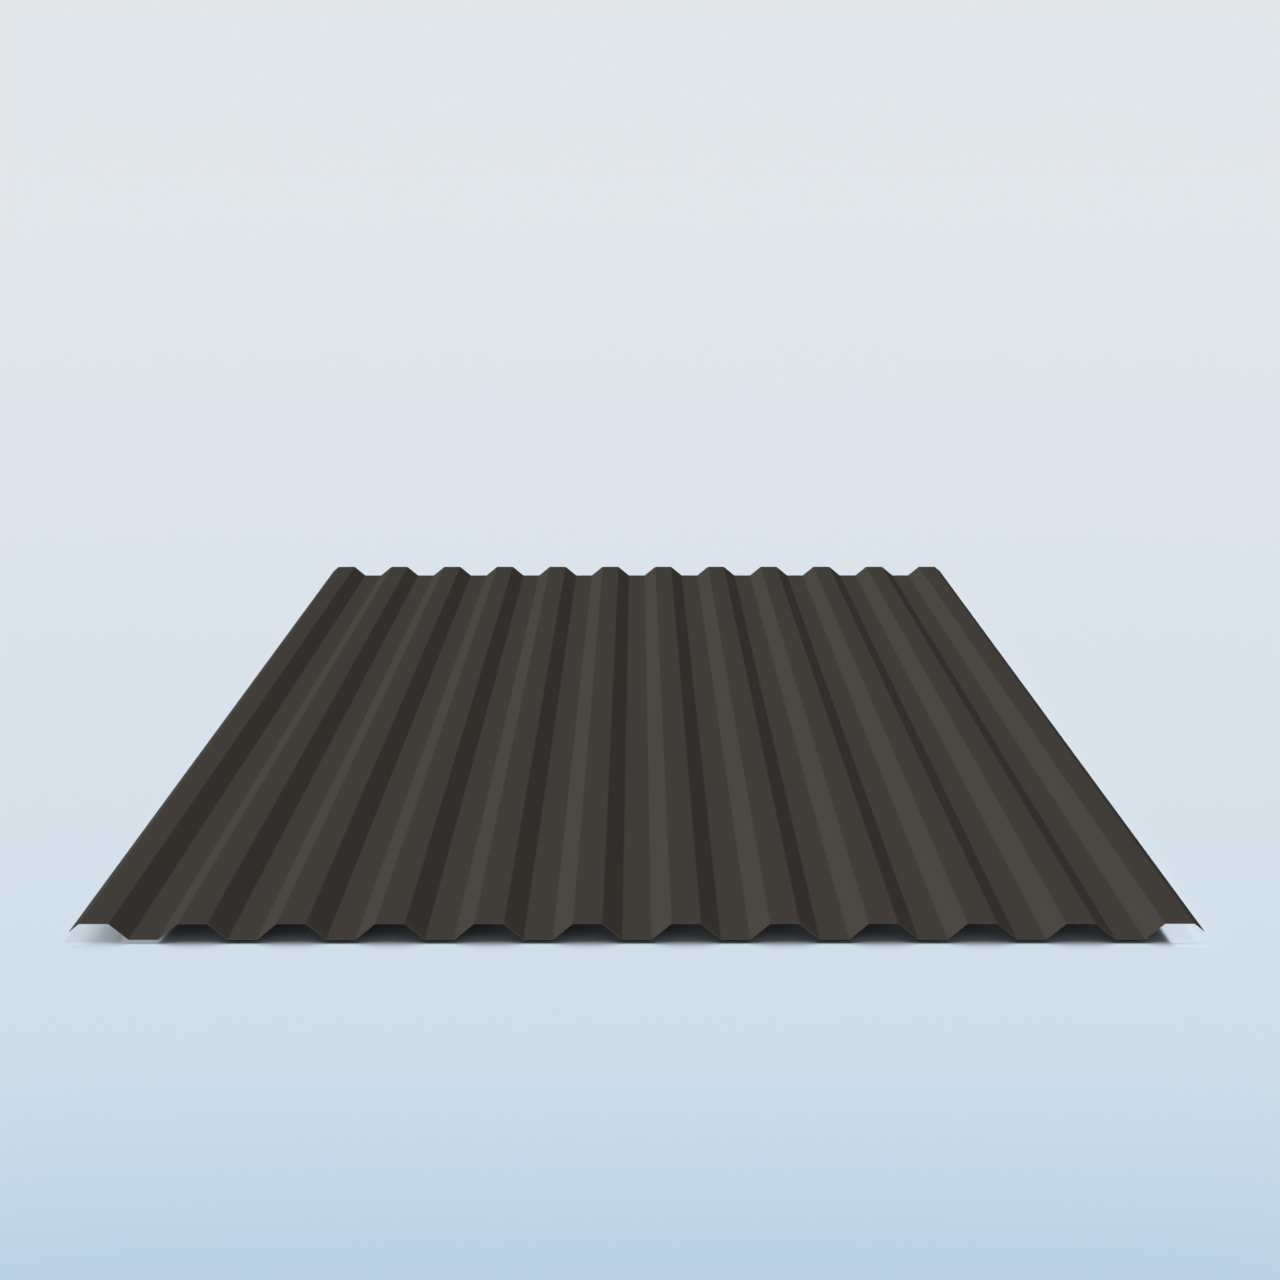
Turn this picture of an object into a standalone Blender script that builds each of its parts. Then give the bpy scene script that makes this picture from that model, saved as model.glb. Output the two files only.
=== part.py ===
"""Trapezoidal steel sheet for roofs, walls and fences, cold rolled from one coated strip.

The sheet is one piece: a strip folded into straight trapezoidal ribs that run its whole
length, with a down-turned lip along each side that laps the next sheet.

Frame, in metres: +X across the ribs, +Y along them, +Z up. The origin is at the middle of
the sheet's width and length, level with the underside of the valleys it rests on.
"""

import math

import bmesh
import bpy

# Driving dimensions
SHEET_LENGTH = 2.500
SHEET_THICKNESS = 0.0005
CREST_COUNT = 12
RIB_PITCH = 0.100
RIB_RISE = 0.0165
CREST_WIDTH = 0.030
VALLEY_WIDTH = 0.030
LIP_RUN = 0.010
INNER_BEND_RADIUS = 0.0025
BEND_SEGMENTS = 4

# Coated steel: dark brown polyester paint with a low gloss
PAINT_COLOUR = (0.054, 0.048, 0.041, 1.0)
PAINT_ROUGHNESS = 0.5
PAINT_METALLIC = 0.0

# Sizes that follow from the driving dimensions. Widths run from fold line to fold line, and
# the surface that is folded is the one halfway through the steel.
WEB_RUN = (RIB_PITCH - CREST_WIDTH - VALLEY_WIDTH) / 2
WEB_SLOPE = math.atan2(RIB_RISE, WEB_RUN)
VALLEY_LEVEL = SHEET_THICKNESS / 2
CREST_LEVEL = VALLEY_LEVEL + RIB_RISE
LIP_DROP = LIP_RUN * math.tan(WEB_SLOPE)
MIDDLE_BEND_RADIUS = INNER_BEND_RADIUS + SHEET_THICKNESS / 2
BEND_SETBACK = MIDDLE_BEND_RADIUS * math.tan(WEB_SLOPE / 2)
SMALLEST_BEND = WEB_SLOPE / 2


def clear_scene():
    """Removes every object that the file opened with."""
    for obj in list(bpy.data.objects):
        bpy.data.objects.remove(obj)


def painted_steel():
    """The coating on the sheet's weather side."""
    material = bpy.data.materials.new("painted_steel")
    material.use_nodes = True
    shader = material.node_tree.nodes["Principled BSDF"]
    shader.inputs["Base Color"].default_value = PAINT_COLOUR
    shader.inputs["Roughness"].default_value = PAINT_ROUGHNESS
    shader.inputs["Metallic"].default_value = PAINT_METALLIC
    return material


def fold_line_points():
    """(x, z) of the sheet's left edge, each fold line and its right edge, from -X to +X."""
    first_crest = -(CREST_COUNT - 1) * RIB_PITCH / 2
    half_crest = CREST_WIDTH / 2
    half_valley = VALLEY_WIDTH / 2
    folds = []
    for rib in range(CREST_COUNT):
        crest = first_crest + rib * RIB_PITCH
        folds += [(crest - half_crest, CREST_LEVEL), (crest + half_crest, CREST_LEVEL)]
        if rib < CREST_COUNT - 1:
            valley = crest + RIB_PITCH / 2
            folds += [(valley - half_valley, VALLEY_LEVEL), (valley + half_valley, VALLEY_LEVEL)]
    left_edge = (folds[0][0] - LIP_RUN, CREST_LEVEL - LIP_DROP)
    right_edge = (folds[-1][0] + LIP_RUN, CREST_LEVEL - LIP_DROP)
    return [left_edge, *folds, right_edge]


def folded_surface(name):
    """The middle surface of the sheet with sharp folds: the cross-section drawn out along Y."""
    shape = bmesh.new()
    front = [shape.verts.new((x, -SHEET_LENGTH / 2, z)) for x, z in fold_line_points()]
    section = [shape.edges.new(ends) for ends in zip(front, front[1:])]
    drawn = bmesh.ops.extrude_edge_only(shape, edges=section)["geom"]
    back = [item for item in drawn if isinstance(item, bmesh.types.BMVert)]
    bmesh.ops.translate(shape, verts=back, vec=(0, SHEET_LENGTH, 0))
    facing_down = [face for face in shape.faces if face.normal.z < 0]
    bmesh.ops.reverse_faces(shape, faces=facing_down)
    mesh = bpy.data.meshes.new(name)
    shape.to_mesh(mesh)
    shape.free()
    return mesh


def add_bends(sheet):
    """Rounds each fold line to the radius that the forming rolls leave."""
    bends = sheet.modifiers.new("bends", "BEVEL")
    bends.offset_type = "OFFSET"
    bends.width = BEND_SETBACK
    bends.segments = BEND_SEGMENTS
    bends.limit_method = "ANGLE"
    bends.angle_limit = SMALLEST_BEND


def add_thickness(sheet):
    """Gives the steel its thickness, half to each side of the folded surface."""
    steel = sheet.modifiers.new("steel", "SOLIDIFY")
    steel.thickness = SHEET_THICKNESS
    steel.offset = 0
    steel.use_even_offset = True


def trapezoidal_sheet():
    """The whole sheet, one solid."""
    name = "trapezoidal_sheet"
    sheet = bpy.data.objects.new(name, folded_surface(name))
    sheet.data.materials.append(painted_steel())
    sheet.data.shade_smooth()
    add_bends(sheet)
    add_thickness(sheet)
    return sheet


def main():
    clear_scene()
    parts = bpy.data.collections.new("trapezoidal_metal_sheet")
    bpy.context.scene.collection.children.link(parts)
    parts.objects.link(trapezoidal_sheet())


main()
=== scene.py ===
"""Looks of a trapezoidal steel sheet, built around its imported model.

The sheet is one strip of coated steel that forming rolls have folded into straight ribs. It is
modelled here finely: the weather side with a round bend at every fold, the back, and the cut
edges between them, each with its own finish. Everything is in metres, +X across the ribs, +Y
along them and +Z up.
"""

import logging
import math
from collections.abc import Iterable
from dataclasses import dataclass
from enum import Enum, IntEnum

import bmesh
import bpy
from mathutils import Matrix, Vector


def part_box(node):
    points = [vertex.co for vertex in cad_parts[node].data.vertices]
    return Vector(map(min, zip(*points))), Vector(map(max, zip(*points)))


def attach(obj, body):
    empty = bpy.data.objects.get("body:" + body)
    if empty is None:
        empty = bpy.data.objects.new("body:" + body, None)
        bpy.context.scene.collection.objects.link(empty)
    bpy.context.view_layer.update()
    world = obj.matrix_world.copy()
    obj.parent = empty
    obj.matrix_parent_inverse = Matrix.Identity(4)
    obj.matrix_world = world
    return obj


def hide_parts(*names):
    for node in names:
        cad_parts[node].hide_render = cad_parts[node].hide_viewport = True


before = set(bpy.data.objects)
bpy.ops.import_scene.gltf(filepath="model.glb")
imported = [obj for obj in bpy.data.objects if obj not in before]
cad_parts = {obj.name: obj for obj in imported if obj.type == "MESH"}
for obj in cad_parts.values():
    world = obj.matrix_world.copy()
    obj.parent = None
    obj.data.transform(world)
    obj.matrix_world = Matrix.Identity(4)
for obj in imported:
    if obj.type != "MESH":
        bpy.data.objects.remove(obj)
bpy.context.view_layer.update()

CAD_NODE = "trapezoidal_sheet"
BODY = "root"

Colour = tuple[float, float, float]
Stretch = tuple[float, float, float]
Stops = list[tuple[float, Colour]]
Settings = dict[str, object]
Sockets = dict[str | int, object]
Element = bmesh.types.BMVert | bmesh.types.BMEdge | bmesh.types.BMFace

log = logging.getLogger("trapezoidal_sheet")


def screen_colour(red: int, green: int, blue: int) -> Colour:
    """Turns the 8-bit values that a screen shows into a linear colour.

    Args:
        red: Red, from 0 to 255.
        green: Green, from 0 to 255.
        blue: Blue, from 0 to 255.

    Returns:
        The linear colour that renders as those values.
    """
    shares = [value / 255 for value in (red, green, blue)]
    return tuple(s / 12.92 if s <= 0.04045 else ((s + 0.055) / 1.055) ** 2.4 for s in shares)


def tinted(colour: Colour, tint: Colour) -> Colour:
    """The colour with each channel multiplied by the tint's."""
    return tuple(channel * share for channel, share in zip(colour, tint))


class Field:
    """A number that varies over a surface, held as a node's output socket."""

    def __init__(self, bench: "NodeBench", socket: bpy.types.NodeSocket) -> None:
        """Wraps a socket of the bench's node tree."""
        self.bench = bench
        self.socket = socket

    def __add__(self, other: "Field | float") -> "Field":
        """This field plus another field or a number."""
        return self.bench.maths("ADD", self, other)

    def __radd__(self, other: float) -> "Field":
        """A number plus this field."""
        return self.bench.maths("ADD", other, self)

    def __sub__(self, other: "Field | float") -> "Field":
        """This field less another field or a number."""
        return self.bench.maths("SUBTRACT", self, other)

    def __rsub__(self, other: float) -> "Field":
        """A number less this field."""
        return self.bench.maths("SUBTRACT", other, self)

    def __mul__(self, other: "Field | float") -> "Field":
        """This field times another field or a number."""
        return self.bench.maths("MULTIPLY", self, other)

    def __rmul__(self, other: float) -> "Field":
        """A number times this field."""
        return self.bench.maths("MULTIPLY", other, self)

    def __truediv__(self, other: "Field | float") -> "Field":
        """This field divided by another field or a number."""
        return self.bench.maths("DIVIDE", self, other)

    def __rtruediv__(self, other: float) -> "Field":
        """A number divided by this field."""
        return self.bench.maths("DIVIDE", other, self)

    def ramp(self, start: float, end: float) -> "Field":
        """A smooth step in this field.

        Args:
            start: The value at and below which the step is 0.
            end: The value at and above which it is 1.

        Returns:
            The step.
        """
        sockets = {"Value": self, "From Min": start, "From Max": end}
        made = self.bench.node("ShaderNodeMapRange", {"interpolation_type": "SMOOTHSTEP"}, sockets)
        return Field(self.bench, made.outputs["Result"])


class NodeBench:
    """Makes and links the nodes of one material or of the world."""

    MIX_FACTOR = 0
    MIX_FIRST_COLOUR = 6
    MIX_SECOND_COLOUR = 7
    MIX_COLOUR_RESULT = 2

    def __init__(self, tree: bpy.types.NodeTree) -> None:
        """Starts with an empty tree."""
        self.tree = tree
        tree.nodes.clear()

    def node(
        self, kind: str, settings: Settings | None = None, sockets: Sockets | None = None
    ) -> bpy.types.Node:
        """Adds one node.

        Args:
            kind: The node's type.
            settings: The node's own properties, set first; "stops" holds a ramp's positions and colours.
            sockets: A value, a Field or an output socket for each input that is set or linked.

        Returns:
            The new node.
        """
        made = self.tree.nodes.new(kind)
        for name, value in (settings or {}).items():
            if name == "stops":
                self.set_stops(made.color_ramp, value)
            else:
                setattr(made, name, value)
        for name, value in (sockets or {}).items():
            value = value.socket if isinstance(value, Field) else value
            if isinstance(value, bpy.types.NodeSocket):
                self.tree.links.new(value, made.inputs[name])
            else:
                made.inputs[name].default_value = value
        return made

    @staticmethod
    def set_stops(ramp: bpy.types.ColorRamp, stops: Stops) -> None:
        """Gives a colour ramp its stops.

        Args:
            ramp: The ramp, fresh from its node.
            stops: Position and linear colour of each stop, in order.
        """
        while len(ramp.elements) < len(stops):
            ramp.elements.new(1.0)
        for element, (position, colour) in zip(ramp.elements, stops):
            element.position = position
            element.color = (*colour, 1.0)

    def maths(self, operation: str, first: Field | float, second: Field | float) -> Field:
        """One Math node on two fields or numbers."""
        made = self.node("ShaderNodeMath", {"operation": operation}, {0: first, 1: second})
        return Field(self, made.outputs["Value"])

    def mixed(self, factor: Field, first: object, second: object) -> bpy.types.NodeSocket:
        """Mixes two colours.

        Args:
            factor: 0 gives the first colour and 1 the second.
            first: A colour with alpha, or a colour socket.
            second: A colour with alpha, or a colour socket.

        Returns:
            The mixed colour's socket.
        """
        sockets = {
            self.MIX_FACTOR: factor,
            self.MIX_FIRST_COLOUR: first,
            self.MIX_SECOND_COLOUR: second,
        }
        made = self.node("ShaderNodeMix", {"data_type": "RGBA"}, sockets)
        return made.outputs[self.MIX_COLOUR_RESULT]

    def scaled(self, colour: bpy.types.NodeSocket, factor: Field | float) -> bpy.types.NodeSocket:
        """A colour with every channel multiplied by one factor."""
        made = self.node("ShaderNodeVectorMath", {"operation": "SCALE"}, {0: colour, "Scale": factor})
        return made.outputs["Vector"]

    def length(self, vector: bpy.types.NodeSocket) -> Field:
        """The length of a vector."""
        made = self.node("ShaderNodeVectorMath", {"operation": "LENGTH"}, {0: vector})
        return Field(self, made.outputs["Value"])

    def place(self, stretch: Stretch = (1, 1, 1)) -> bpy.types.NodeSocket:
        """Object coordinates.

        Args:
            stretch: What each axis's coordinate is multiplied by.

        Returns:
            The coordinates' socket.
        """
        place = self.node("ShaderNodeTexCoord").outputs["Object"]
        made = self.node("ShaderNodeMapping", None, {"Vector": place, "Scale": stretch})
        return made.outputs["Vector"]

    def axes(self) -> tuple[Field, Field, Field]:
        """The object coordinates on their own: across, along and up."""
        parts = self.node("ShaderNodeSeparateXYZ", None, {"Vector": self.place()}).outputs
        return tuple(Field(self, parts[axis]) for axis in ("X", "Y", "Z"))

    def noise(self, size: float, stretch: Stretch = (1, 1, 1), detail: float = 2) -> Field:
        """Soft noise around 0.5.

        Args:
            size: The width of its spots, in metres.
            stretch: A factor on each axis's coordinates; below 1 draws the spots out along that axis.
            detail: How many finer layers it has.

        Returns:
            The noise.
        """
        sockets = {"Vector": self.place(stretch), "Scale": 1 / size, "Detail": detail}
        return Field(self, self.node("ShaderNodeTexNoise", None, sockets).outputs["Fac"])

    def attribute(self, name: str) -> Field:
        """A float attribute of the mesh."""
        made = self.node("ShaderNodeAttribute", {"attribute_name": name})
        return Field(self, made.outputs["Fac"])

    def bump(self, height: Field) -> bpy.types.NodeSocket:
        """The surface's normal, tilted as a relief of this height in metres would tilt it."""
        made = self.node("ShaderNodeBump", None, {"Height": height, "Strength": 1.0, "Distance": 1.0})
        return made.outputs["Normal"]

    def surface(self, kind: str, sockets: Sockets) -> None:
        """Ends a material with its one shader.

        Args:
            kind: The shader's type.
            sockets: A value, a Field or an output socket for each input that is set or linked.
        """
        shader = self.node(kind, None, sockets)
        self.node("ShaderNodeOutputMaterial", None, {"Surface": shader.outputs["BSDF"]})


def new_material(name: str) -> tuple[bpy.types.Material, NodeBench]:
    """Makes a material.

    Args:
        name: The material's name.

    Returns:
        The material, and the bench that makes its nodes.
    """
    made = bpy.data.materials.new(name)
    made.use_nodes = True
    return made, NodeBench(made.node_tree)


def new_object(name: str, shape: bmesh.types.BMesh) -> bpy.types.Object:
    """Puts a finished shape into the scene, at the origin.

    Args:
        name: The name of the object and of its mesh.
        shape: The shape, which is freed.

    Returns:
        The object.
    """
    mesh = bpy.data.meshes.new(name)
    shape.to_mesh(mesh)
    shape.free()
    made = bpy.data.objects.new(name, mesh)
    bpy.context.scene.collection.objects.link(made)
    return made


def everything(shape: bmesh.types.BMesh) -> list[Element]:
    """All vertices, edges and faces of a shape."""
    return [*shape.verts, *shape.edges, *shape.faces]


def only_verts(made: Iterable[Element]) -> list[bmesh.types.BMVert]:
    """The vertices among what an operator made."""
    return [item for item in made if isinstance(item, bmesh.types.BMVert)]


class Face(IntEnum):
    """The material index of each kind of face on the sheet."""

    WEATHER = 0
    BACK = 1
    CUT = 2


class Mark(Enum):
    """The float attributes that the sheet's mesh carries."""

    BEND = "bend"
    DEPTH = "depth"


@dataclass(frozen=True)
class WeatherPaint:
    """Matt dark brown polyester paint, baked on the strip before it was folded."""

    colour: Colour = (0.054, 0.048, 0.041)
    warm_tint: Colour = (1.01, 1.0, 0.99)
    cool_tint: Colour = (0.98, 1.0, 1.02)
    roughness: float = 0.72
    gloss: float = 0.0
    drift_size: float = 0.35
    drift_stretch: Stretch = (1, 0.4, 1)
    drift_range: tuple[float, float] = (0.3, 0.7)
    streak_width: float = 0.012
    streak_stretch: Stretch = (1, 0.01, 1)
    streak_share: float = 0.03
    streak_roughness: float = 0.06
    bend_smoothing: float = 0.03
    grain_size: float = 0.0007
    peel_size: float = 0.004
    grain_height: float = 0.00004
    peel_height: float = 0.00002

    def material(self) -> bpy.types.Material:
        """Makes the paint's material.

        Returns:
            A matt paint with a faint drift of hue, lengthwise streaks and a fine grain.
        """
        made, bench = new_material("weather_paint")
        drift = bench.noise(self.drift_size, self.drift_stretch).ramp(*self.drift_range)
        streaks = bench.noise(self.streak_width, self.streak_stretch, 3) - 0.5
        warm, cool = tinted(self.colour, self.warm_tint), tinted(self.colour, self.cool_tint)
        hue = bench.mixed(drift, (*warm, 1), (*cool, 1))
        grain = bench.noise(self.grain_size, detail=3) * self.grain_height
        peel = bench.noise(self.peel_size) * self.peel_height
        smoother = bench.attribute(Mark.BEND.value) * self.bend_smoothing
        bench.surface("ShaderNodeBsdfPrincipled", {
            "Base Color": bench.scaled(hue, 1 + streaks * (2 * self.streak_share)),
            "Roughness": self.roughness + streaks * self.streak_roughness - smoother,
            "Specular IOR Level": self.gloss,
            "Normal": bench.bump(grain + peel),
        })
        return made


@dataclass(frozen=True)
class BackCoat:
    """Thin dark lacquer on the back of the strip, which lets the zinc's tone through."""

    colour: Colour = (0.045, 0.043, 0.040)
    thin_colour: Colour = (0.060, 0.058, 0.055)
    roughness: float = 0.6
    gloss: float = 0.0
    cloud_size: float = 0.02
    cloud_stretch: Stretch = (1, 0.05, 1)
    cloud_range: tuple[float, float] = (0.35, 0.65)
    cloud_roughness: float = 0.1
    grain_size: float = 0.0006
    grain_height: float = 0.00002

    def material(self) -> bpy.types.Material:
        """Makes the lacquer's material.

        Returns:
            A dull dark lacquer, a little uneven along the strip.
        """
        made, bench = new_material("back_coat")
        clouds = bench.noise(self.cloud_size, self.cloud_stretch, 4)
        thinness = clouds.ramp(*self.cloud_range)
        bench.surface("ShaderNodeBsdfPrincipled", {
            "Base Color": bench.mixed(thinness, (*self.colour, 1), (*self.thin_colour, 1)),
            "Roughness": self.roughness + (clouds - 0.5) * self.cloud_roughness,
            "Specular IOR Level": self.gloss,
            "Normal": bench.bump(bench.noise(self.grain_size) * self.grain_height),
        })
        return made


@dataclass(frozen=True)
class CutSteel:
    """The sheared edge: steel under a skin of zinc, with the paint's edge along the top.

    The shares are of the steel's thickness, from the weather side down.
    """

    steel: Colour = (0.075, 0.072, 0.069)
    zinc: Colour = (0.13, 0.132, 0.134)
    paint: Colour = WeatherPaint.colour
    paint_share: float = 0.08
    paint_blur: float = 0.016
    zinc_share: float = 0.06
    roughness: float = 0.5
    metallic: float = 0.3
    score_size: float = 0.0004
    score_stretch: Stretch = (1, 1, 0.15)
    score_roughness: float = 0.3

    def material(self) -> bpy.types.Material:
        """Makes the cut edge's material.

        Returns:
            Layers from the paint down through the steel, scored by the shear's blade.
        """
        made, bench = new_material("cut_steel")
        depth = bench.attribute(Mark.DEPTH.value)
        below_paint = depth.ramp(self.paint_share - self.paint_blur, self.paint_share)
        below_zinc = depth.ramp(self.paint_share, self.paint_share + self.zinc_share)
        coated = bench.mixed(below_paint, (*self.paint, 1), (*self.zinc, 1))
        scores = bench.noise(self.score_size, self.score_stretch) - 0.5
        bench.surface("ShaderNodeBsdfPrincipled", {
            "Base Color": bench.mixed(below_zinc, coated, (*self.steel, 1)),
            "Roughness": self.roughness + scores * self.score_roughness,
            "Metallic": below_paint * self.metallic,
        })
        return made


@dataclass
class RolledSheet:
    """The sheet itself. Widths run from fold line to fold line, halfway through the steel."""

    low: Vector
    high: Vector
    crest_count: int = 12
    pitch: float = 0.100
    crest_width: float = 0.030
    valley_width: float = 0.030
    steel: float = 0.0005
    inner_radius: float = 0.0025
    bend_segments: int = 8
    lengthwise_cuts: int = 24
    merge_distance: float = 0.00001

    @property
    def rise(self) -> float:
        """From a valley's surface up to a crest's."""
        return self.high.z - self.low.z - self.steel

    @property
    def slope(self) -> float:
        """The angle of a web to the flats, in radians."""
        return math.atan2(self.rise, (self.pitch - self.crest_width - self.valley_width) / 2)

    @property
    def crest_level(self) -> float:
        """The height of the crests' weather side."""
        return self.high.z

    @property
    def valley_level(self) -> float:
        """The height of the valleys' weather side."""
        return self.low.z + self.steel

    def setback(self, radius: float) -> float:
        """How far from its fold line a bend of this radius starts."""
        return radius * math.tan(self.slope / 2)

    def draw_rib(self, shape: bmesh.types.BMesh) -> None:
        """Draws the weather side of the first rib, with a valley on each side and sharp folds.

        Args:
            shape: The empty shape that it is drawn in.
        """
        shift = self.setback(self.steel / 2)
        half_crest = self.crest_width / 2 + shift
        half_valley = self.valley_width / 2 - shift
        crest = -(self.crest_count - 1) * self.pitch / 2
        valley = crest - self.pitch / 2
        section = [
            (valley - half_valley, self.valley_level),
            (valley + half_valley, self.valley_level),
            (crest - half_crest, self.crest_level),
            (crest + half_crest, self.crest_level),
            (valley + self.pitch - half_valley, self.valley_level),
        ]
        front = [shape.verts.new((x, self.low.y, z)) for x, z in section]
        edges = [shape.edges.new(pair) for pair in zip(front, front[1:])]
        drawn = bmesh.ops.extrude_edge_only(shape, edges=edges)["geom"]
        bmesh.ops.translate(shape, verts=only_verts(drawn), vec=(0, self.high.y - self.low.y, 0))

    def repeat_rib(self, shape: bmesh.types.BMesh) -> None:
        """Sets the other ribs beside the first and welds them into one surface that faces up.

        Args:
            shape: The shape that holds the first rib.
        """
        first = everything(shape)
        for rib in range(1, self.crest_count):
            copied = bmesh.ops.duplicate(shape, geom=first)["geom"]
            bmesh.ops.translate(shape, verts=only_verts(copied), vec=(rib * self.pitch, 0, 0))
        bmesh.ops.remove_doubles(shape, verts=shape.verts, dist=self.merge_distance)
        facing_down = [face for face in shape.faces if face.normal.z < 0]
        bmesh.ops.reverse_faces(shape, faces=facing_down)

    def trim_sides(self, shape: bmesh.types.BMesh) -> None:
        """Slits the strip to width, which leaves a short lip turned down on each side.

        Args:
            shape: The shape that holds every rib.
        """
        for side, outwards in ((self.low.x, -1), (self.high.x, 1)):
            bmesh.ops.bisect_plane(
                shape, geom=everything(shape), plane_co=(side, 0, 0), plane_no=(outwards, 0, 0),
                clear_outer=True,
            )

    def is_fold(self, edge: bmesh.types.BMEdge, level: float) -> bool:
        """Whether an edge is a sharp fold line, and not the border of a bend.

        Args:
            edge: The edge.
            level: The height that the fold line has to be at.

        Returns:
            True for a fold line at that height.
        """
        start, end = (vert.co for vert in edge.verts)
        runs_along = abs(start.x - end.x) < self.merge_distance
        at_level = abs(start.z - level) < self.merge_distance
        return runs_along and at_level and edge.calc_face_angle(0.0) > self.slope / 2

    def round_folds(self, shape: bmesh.types.BMesh) -> None:
        """Rounds every fold line and marks the bends, crests first and then valleys.

        Args:
            shape: The shape with sharp folds.
        """
        bend = shape.verts.layers.float.new(Mark.BEND.value)
        radii = {self.crest_level: self.inner_radius + self.steel, self.valley_level: self.inner_radius}
        for level, radius in radii.items():
            folds = [edge for edge in shape.edges if self.is_fold(edge, level)]
            rounded = bmesh.ops.bevel(
                shape, geom=folds, offset=self.setback(radius), offset_type="OFFSET",
                segments=self.bend_segments, profile=0.5, affect="EDGES", material=-1,
            )
            for vert in rounded["verts"]:
                vert[bend] = 1.0

    def divide_length(self, shape: bmesh.types.BMesh) -> None:
        """Cuts the long faces across, so that none is needlessly thin.

        Args:
            shape: The shape with round bends.
        """
        along = [edge for edge in shape.edges if edge.calc_length() > self.pitch]
        bmesh.ops.subdivide_edges(shape, edges=along, cuts=self.lengthwise_cuts, use_grid_fill=True)

    def give_thickness(self, shape: bmesh.types.BMesh) -> None:
        """Adds the back and the cut edges, and sets each face's finish and each vertex's depth.

        Args:
            shape: The weather side, which becomes the closed sheet.
        """
        depth = shape.verts.layers.float.new(Mark.DEPTH.value)
        on_top = set(shape.verts)
        bmesh.ops.solidify(shape, geom=list(shape.faces), thickness=self.steel)
        for vert in shape.verts:
            vert[depth] = 0.0 if vert in on_top else 1.0
        for face in shape.faces:
            face.smooth = True
            face.material_index = self.kind_of(face, on_top)
        for edge in shape.edges:
            edge.smooth = len({face.material_index for face in edge.link_faces}) == 1

    @staticmethod
    def kind_of(face: bmesh.types.BMFace, on_top: set[bmesh.types.BMVert]) -> Face:
        """Tells which finish a face of the closed sheet has.

        Args:
            face: The face.
            on_top: The vertices of the weather side.

        Returns:
            The kind of face.
        """
        corners_on_top = sum(vert in on_top for vert in face.verts)
        if corners_on_top == len(face.verts):
            return Face.WEATHER
        return Face.CUT if corners_on_top else Face.BACK

    def dress(self, sheet: bpy.types.Object) -> None:
        """Puts on the finishes, keeps the flats' shading flat and ties the sheet to the frame.

        Args:
            sheet: The sheet's object.
        """
        for finish in (WeatherPaint(), BackCoat(), CutSteel()):
            sheet.data.materials.append(finish.material())
        flats = sheet.modifiers.new("flat_flats", "WEIGHTED_NORMAL")
        flats.mode = "FACE_AREA"
        flats.weight = 100
        flats.keep_sharp = True
        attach(sheet, BODY)
        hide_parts(CAD_NODE)

    def build(self) -> bpy.types.Object:
        """Makes the finished sheet.

        Returns:
            The sheet's object, at the origin, with its three finishes.
        """
        shape = bmesh.new()
        self.draw_rib(shape)
        self.repeat_rib(shape)
        self.trim_sides(shape)
        self.round_folds(shape)
        self.divide_length(shape)
        self.give_thickness(shape)
        sheet = new_object("rolled_sheet", shape)
        self.dress(sheet)
        return sheet


@dataclass(frozen=True)
class Backdrop:
    """The pale colours around the sheet: bluer in front of it, paler behind and far off."""

    front: Colour = screen_colour(187, 210, 229)
    near: Colour = screen_colour(206, 221, 233)
    middle: Colour = screen_colour(215, 225, 234)
    behind: Colour = screen_colour(221, 228, 236)
    horizon: Colour = screen_colour(226, 231, 235)
    fades: tuple[float, ...] = (0.09, 0.34, 0.653, 0.854, 1.0)

    def stops(self) -> Stops:
        """Each colour with its share of the fade, which is 0 in the middle of the blue and 1 far off."""
        return list(zip(self.fades, (self.front, self.near, self.middle, self.behind, self.horizon)))


@dataclass
class StudioFloor:
    """A plain pale floor, so wide that its edge is at the horizon, with a little blue in front.

    The blue lies the front gap away from the sheet and fades over the fade length. Sideways it
    is the square of the distance over the side length that counts, so the blue hardly changes
    across the sheet's width and fades faster beyond it.
    """

    colours: Backdrop
    sheet_front: float
    light_level: float = 1.0
    reach: float = 400.0
    drop: float = 0.004
    front_gap: float = 0.9
    fade_length: float = 1.0
    side_length: float = 2.5
    open_radius: float = 6.0
    far_radius: float = 40.0

    def material(self) -> bpy.types.Material:
        """Makes the floor's material.

        Returns:
            A matt surface whose colour gets paler away from the blue in front and is even far off.
        """
        made, bench = new_material("studio_floor")
        across, along, _ = bench.axes()
        beside = across * across / self.side_length
        ahead = along - (self.sheet_front - self.front_gap)
        offset = bench.node("ShaderNodeCombineXYZ", None, {"X": beside, "Y": ahead})
        away = bench.length(offset.outputs["Vector"])
        fade = away / (away + self.fade_length)
        ramp = bench.node("ShaderNodeValToRGB", {"stops": self.colours.stops()}, {"Fac": fade})
        far = bench.length(bench.place()).ramp(self.open_radius, self.far_radius)
        colour = bench.mixed(far, ramp.outputs["Color"], (*self.colours.horizon, 1))
        bench.surface("ShaderNodeBsdfDiffuse", {"Color": bench.scaled(colour, 1 / self.light_level)})
        return made

    def build(self) -> bpy.types.Object:
        """Makes the floor.

        Returns:
            The floor's object, which isn't part of the sheet.
        """
        shape = bmesh.new()
        bmesh.ops.create_grid(shape, x_segments=1, y_segments=1, size=self.reach)
        bmesh.ops.translate(shape, verts=shape.verts, vec=(0, 0, -self.drop))
        floor = new_object("studio_floor", shape)
        floor.data.materials.append(self.material())
        return floor


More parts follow.
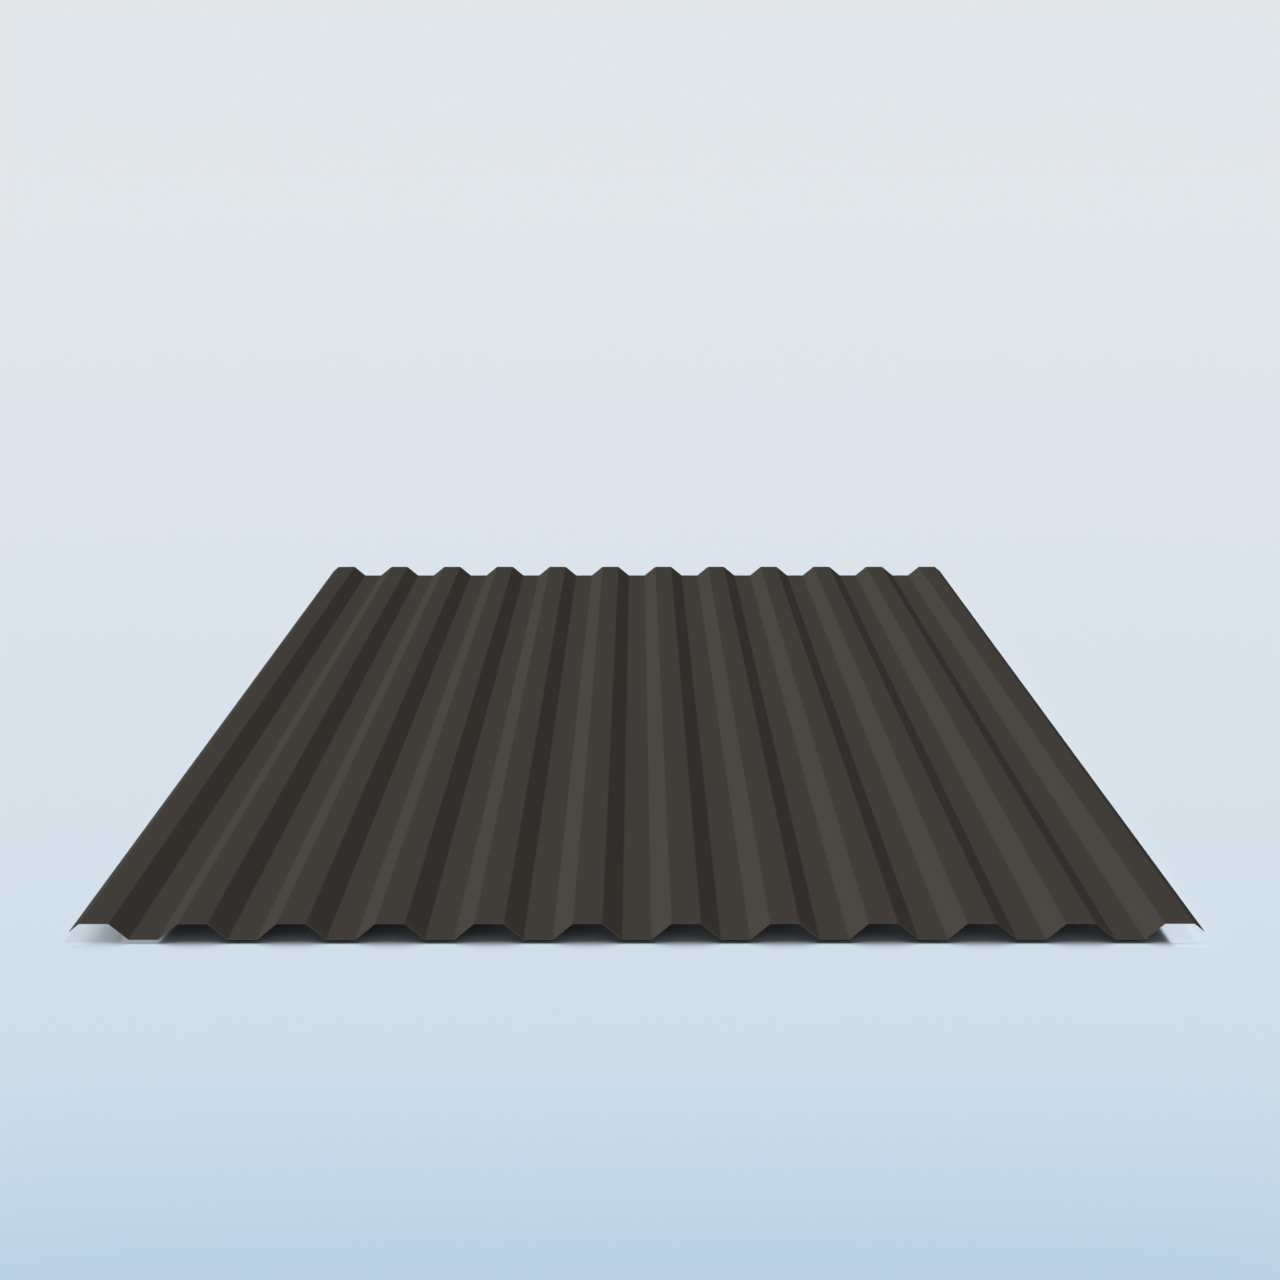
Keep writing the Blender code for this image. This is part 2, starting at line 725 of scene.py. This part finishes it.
@dataclass
class StudioWorld:
    """The space around the floor: its horizon colour to look at, and a weak even light."""

    colours: Backdrop
    ambient: float = 0.07

    def build(self) -> bpy.types.World:
        """Makes the world.

        Returns:
            The world, which shows the horizon colour wherever it is seen or reflected.
        """
        world = bpy.data.worlds.new("studio_world")
        world.use_nodes = True
        bench = NodeBench(world.node_tree)
        rays = bench.node("ShaderNodeLightPath")
        seen = Field(bench, rays.outputs["Is Camera Ray"])
        for kind in ("Is Glossy Ray", "Is Transmission Ray"):
            seen = bench.maths("MAXIMUM", seen, Field(bench, rays.outputs[kind]))
        weak = {"Color": (1, 1, 1, 1), "Strength": self.ambient}
        shown = {"Color": (*self.colours.horizon, 1), "Strength": 1.0}
        first, second = (bench.node("ShaderNodeBackground", None, light) for light in (weak, shown))
        sockets = {"Fac": seen, 1: first.outputs["Background"], 2: second.outputs["Background"]}
        mix = bench.node("ShaderNodeMixShader", None, sockets)
        bench.node("ShaderNodeOutputWorld", None, {"Surface": mix.outputs["Shader"]})
        bpy.context.scene.world = world
        return world


class Reach(Enum):
    """What a lamp lights."""

    SHEET = "sheet"
    FLOOR = "floor"


Receivers = dict[Reach, bpy.types.Collection]


@dataclass(frozen=True)
class SoftLamp:
    """A wide, even studio light from far off. Its level is how bright a white card facing it gets."""

    name: str
    azimuth: float
    elevation: float
    level: float
    spread: float
    reach: Reach
    casts_shadow: bool = True

    def build(self, receivers: Receivers) -> bpy.types.Object:
        """Makes the lamp.

        Args:
            receivers: The collection of what is lit, for each reach.

        Returns:
            The lamp's object. Azimuth 0 is in front of the sheet and 90 on its right.
        """
        light = bpy.data.lights.new(self.name, "SUN")
        light.energy = self.level * math.pi
        light.angle = math.radians(self.spread)
        light.use_shadow = self.casts_shadow
        # Where a lamp this wide casts no shadow, its level is only exact with this off.
        light.cycles.use_multiple_importance_sampling = self.casts_shadow
        lamp = bpy.data.objects.new(self.name, light)
        turn, rise = math.radians(self.azimuth), math.radians(self.elevation)
        towards = (math.sin(turn) * math.cos(rise), -math.cos(turn) * math.cos(rise), math.sin(rise))
        lamp.rotation_euler = Vector(towards).to_track_quat("Z", "Y").to_euler()
        bpy.context.scene.collection.objects.link(lamp)
        lamp.light_linking.receiver_collection = receivers[self.reach]
        return lamp


@dataclass(frozen=True)
class StripLamp:
    """A long thin light that points down at the floor under an end crest, or just in front of it.

    It keeps the floor there open and pale. Its level is how bright it makes a white card against it.
    """

    name: str
    level: float
    inner: float
    outer: float
    inner_height: float
    outer_height: float
    front: float
    back: float

    def build(self, receivers: Receivers) -> bpy.types.Object:
        """Makes the lamp, which leans with its two heights and which the camera doesn't see.

        Args:
            receivers: The collection of what is lit, for each reach.

        Returns:
            The lamp's object.
        """
        width, climb = self.outer - self.inner, self.outer_height - self.inner_height
        light = bpy.data.lights.new(self.name, "AREA")
        light.shape = "RECTANGLE"
        light.size = math.hypot(width, climb)
        light.size_y = self.back - self.front
        light.energy = self.level * math.pi * light.size * light.size_y
        lamp = bpy.data.objects.new(self.name, light)
        inner_front = Vector((self.inner, self.front, self.inner_height))
        outer_back = Vector((self.outer, self.back, self.outer_height))
        lamp.location = (inner_front + outer_back) / 2
        lamp.rotation_euler.y = -math.atan(climb / width)
        lamp.visible_camera = False
        bpy.context.scene.collection.objects.link(lamp)
        lamp.light_linking.receiver_collection = receivers[Reach.FLOOR]
        return lamp


@dataclass
class StudioLights:
    """The rig. The sheet and the floor have lamps of their own.

    The sheet has a broad light overhead and a low one from the left, for the webs that face left.
    The floor has one overhead, a weak one in front and thin ones under the sheet's end crests.
    """

    sheet: bpy.types.Object
    floor: bpy.types.Object
    low: Vector
    high: Vector
    far_inset: float = 0.012

    def soft_lamps(self) -> list[SoftLamp]:
        """The wide lamps, the sheet's first."""
        return [
            SoftLamp("overhead", azimuth=180, elevation=72, level=0.72, spread=80, reach=Reach.SHEET),
            SoftLamp("low_left", azimuth=-90, elevation=5, level=1.067, spread=90, reach=Reach.SHEET,
                     casts_shadow=False),
            SoftLamp("floor_overhead", azimuth=180, elevation=80, level=0.90, spread=80,
                     reach=Reach.FLOOR),
            SoftLamp("floor_front", azimuth=20, elevation=25, level=0.11, spread=50, reach=Reach.FLOOR),
        ]

    def strip_lamps(self) -> list[StripLamp]:
        """The thin lamps, placed from the sheet's edges. They end short of its far end."""
        left, right = self.low.x, self.high.x
        front, back = self.low.y, self.high.y - self.far_inset
        return [
            StripLamp("right_end", level=0.94, inner=right - 0.0336, outer=right + 0.0003,
                      inner_height=-0.002, outer_height=0.0015, front=front + 0.003, back=back),
            StripLamp("right_front", level=0.45, inner=right - 0.0336, outer=right + 0.0003,
                      inner_height=0.0, outer_height=0.003, front=front - 0.012, back=front + 0.003),
            StripLamp("left_lip", level=0.58, inner=left + 0.0182, outer=left + 0.0012,
                      inner_height=0.008, outer_height=0.0025, front=front - 0.002, back=back),
            StripLamp("left_end", level=0.36, inner=left + 0.0472, outer=left + 0.0002,
                      inner_height=0.0035, outer_height=0.0015, front=front - 0.006, back=back),
            StripLamp("left_valley", level=0.45, inner=left + 0.0902, outer=left + 0.0502,
                      inner_height=-0.0015, outer_height=0.0003, front=front + 0.001, back=back),
        ]

    def build(self) -> list[bpy.types.Object]:
        """Makes every lamp.

        Returns:
            The lamps' objects.
        """
        receivers = {}
        for reach, lit in ((Reach.SHEET, self.sheet), (Reach.FLOOR, self.floor)):
            receivers[reach] = bpy.data.collections.new(f"lit_{reach.value}")
            receivers[reach].objects.link(lit)
        return [lamp.build(receivers) for lamp in (*self.soft_lamps(), *self.strip_lamps())]


@dataclass(frozen=True)
class StudioCamera:
    """A camera in front of the sheet's middle that looks down on it a little. Angles are in degrees."""

    sheet_front: float
    distance: float = 2.728
    height: float = 0.780
    tilt_down: float = 9.81
    turn_right: float = 0.066
    lens: float = 78.3
    far_clip: float = 1000.0

    def build(self) -> bpy.types.Object:
        """Makes the camera and the scene's view of it.

        Returns:
            The camera's object.
        """
        camera = bpy.data.objects.new("camera", bpy.data.cameras.new("camera"))
        camera.data.lens = self.lens
        camera.data.clip_end = self.far_clip
        camera.location = (0, self.sheet_front - self.distance, self.height)
        camera.rotation_euler = (math.radians(90 - self.tilt_down), 0, math.radians(-self.turn_right))
        bpy.context.scene.collection.objects.link(camera)
        bpy.context.scene.camera = camera
        bpy.context.scene.view_settings.view_transform = "Standard"
        return camera


def main() -> None:
    """Builds the sheet, its surroundings, the lights and the camera, and reports each."""
    logging.basicConfig(level=logging.INFO, format="%(name)s: %(message)s")
    low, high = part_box(CAD_NODE)
    sheet = RolledSheet(low, high).build()
    log.info("sheet: %s with %d faces", sheet.name, len(sheet.data.polygons))
    colours = Backdrop()
    floor = StudioFloor(colours, sheet_front=low.y).build()
    log.info("floor: %s", floor.name)
    world = StudioWorld(colours).build()
    log.info("world: %s", world.name)
    for lamp in StudioLights(sheet, floor, low, high).build():
        log.info("lamp: %s", lamp.name)
    camera = StudioCamera(sheet_front=low.y).build()
    log.info("camera: %s", camera.name)


if __name__ == "__main__":
    main()
